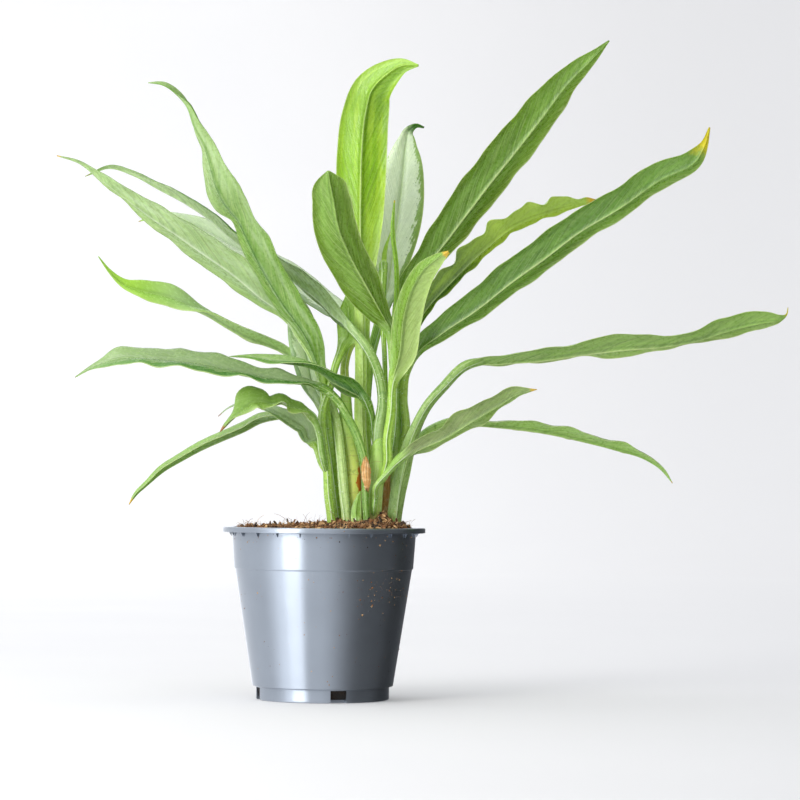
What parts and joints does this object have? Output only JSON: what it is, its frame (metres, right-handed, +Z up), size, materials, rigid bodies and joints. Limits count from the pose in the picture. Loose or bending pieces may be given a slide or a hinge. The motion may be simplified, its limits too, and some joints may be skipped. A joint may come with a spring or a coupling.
{
  "type": "potted chinese evergreen",
  "caption": "Potted chinese evergreen: long arching silver and green leaves on short canes in a round tapered nursery pot of soil.",
  "frame": {"origin": "centre of the pot's underside, at the middle of its flat floor", "axes": "+Z up through the pot's axis, -Y towards the viewer, +X to the viewer's right"},
  "size_m": [0.4278, 0.143, 0.3865],
  "materials": {
    "pot_plastic": "gloss",
    "potting_mix": "matte",
    "cane_green": "satin",
    "leaf_lime": "satin",
    "leaf_green": "satin",
    "leaf_silver": "satin",
    "leaf_deep": "satin",
    "dry_sheath": "matte"
  },
  "bodies": {
    "root": {"pot": "pot_plastic", "soil": "potting_mix", "cane_left": "cane_green", "cane_centre": "cane_green", "cane_back": "cane_green", "leaf_tall_lime": "leaf_lime", "leaf_silver_upright": "leaf_silver", "leaf_spike": "leaf_lime", "leaf_young_curl": "leaf_lime", "leaf_front_left": "leaf_green", "leaf_upper_right": "leaf_green", "leaf_ruffled": "leaf_lime", "leaf_front_curled": "leaf_lime", "leaf_right": "leaf_green", "leaf_long_right": "leaf_green", "leaf_short_right": "leaf_green", "leaf_far_right": "leaf_green", "leaf_upper_left": "leaf_green", "leaf_long_left": "leaf_green", "leaf_folded_left": "leaf_deep", "leaf_pale_back": "leaf_silver", "leaf_twisting_left": "leaf_lime", "leaf_level_left": "leaf_silver", "leaf_above_level": "leaf_deep", "leaf_crumpled": "leaf_deep", "leaf_under_crumpled": "leaf_silver", "leaf_low_narrow": "leaf_green", "leaf_pale_blade": "leaf_silver", "leaf_young_lime": "leaf_lime", "shoot_small": "leaf_lime", "papery_sheath": "dry_sheath"}
  },
  "joints": []
}
